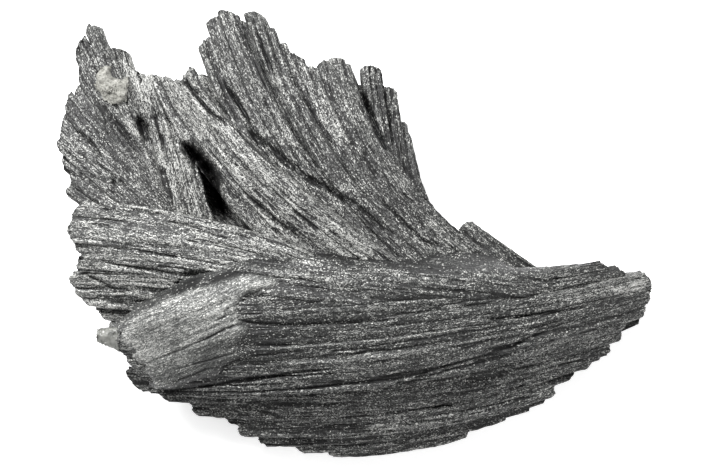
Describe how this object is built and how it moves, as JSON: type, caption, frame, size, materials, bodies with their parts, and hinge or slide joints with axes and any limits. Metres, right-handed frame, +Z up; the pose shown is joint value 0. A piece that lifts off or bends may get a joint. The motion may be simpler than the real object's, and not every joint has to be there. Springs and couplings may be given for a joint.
{
  "type": "black kyanite fan",
  "caption": "Fan-shaped mineral specimen of intergrown black kyanite blades with a small pale mica crust and a quartz nib, lying on its back.",
  "frame": {"origin": "centre of the bounding box on the plane that the specimen lies on", "axes": "+X along the long front blades towards their blunt right-hand ends, +Y towards the crown of blade tips, +Z up out of the broad face"},
  "size_m": [0.088, 0.0659, 0.0221],
  "materials": {
    "kyanite": "silvery dark grey, fibrous, with a satin sheen along the blades",
    "mica": "cream, rough and granular",
    "quartz": "cloudy, smooth and slightly glossy"
  },
  "bodies": {
    "root": {"kyanite_fan": "kyanite", "mica_crust": "mica", "quartz_nib": "quartz"}
  },
  "joints": []
}
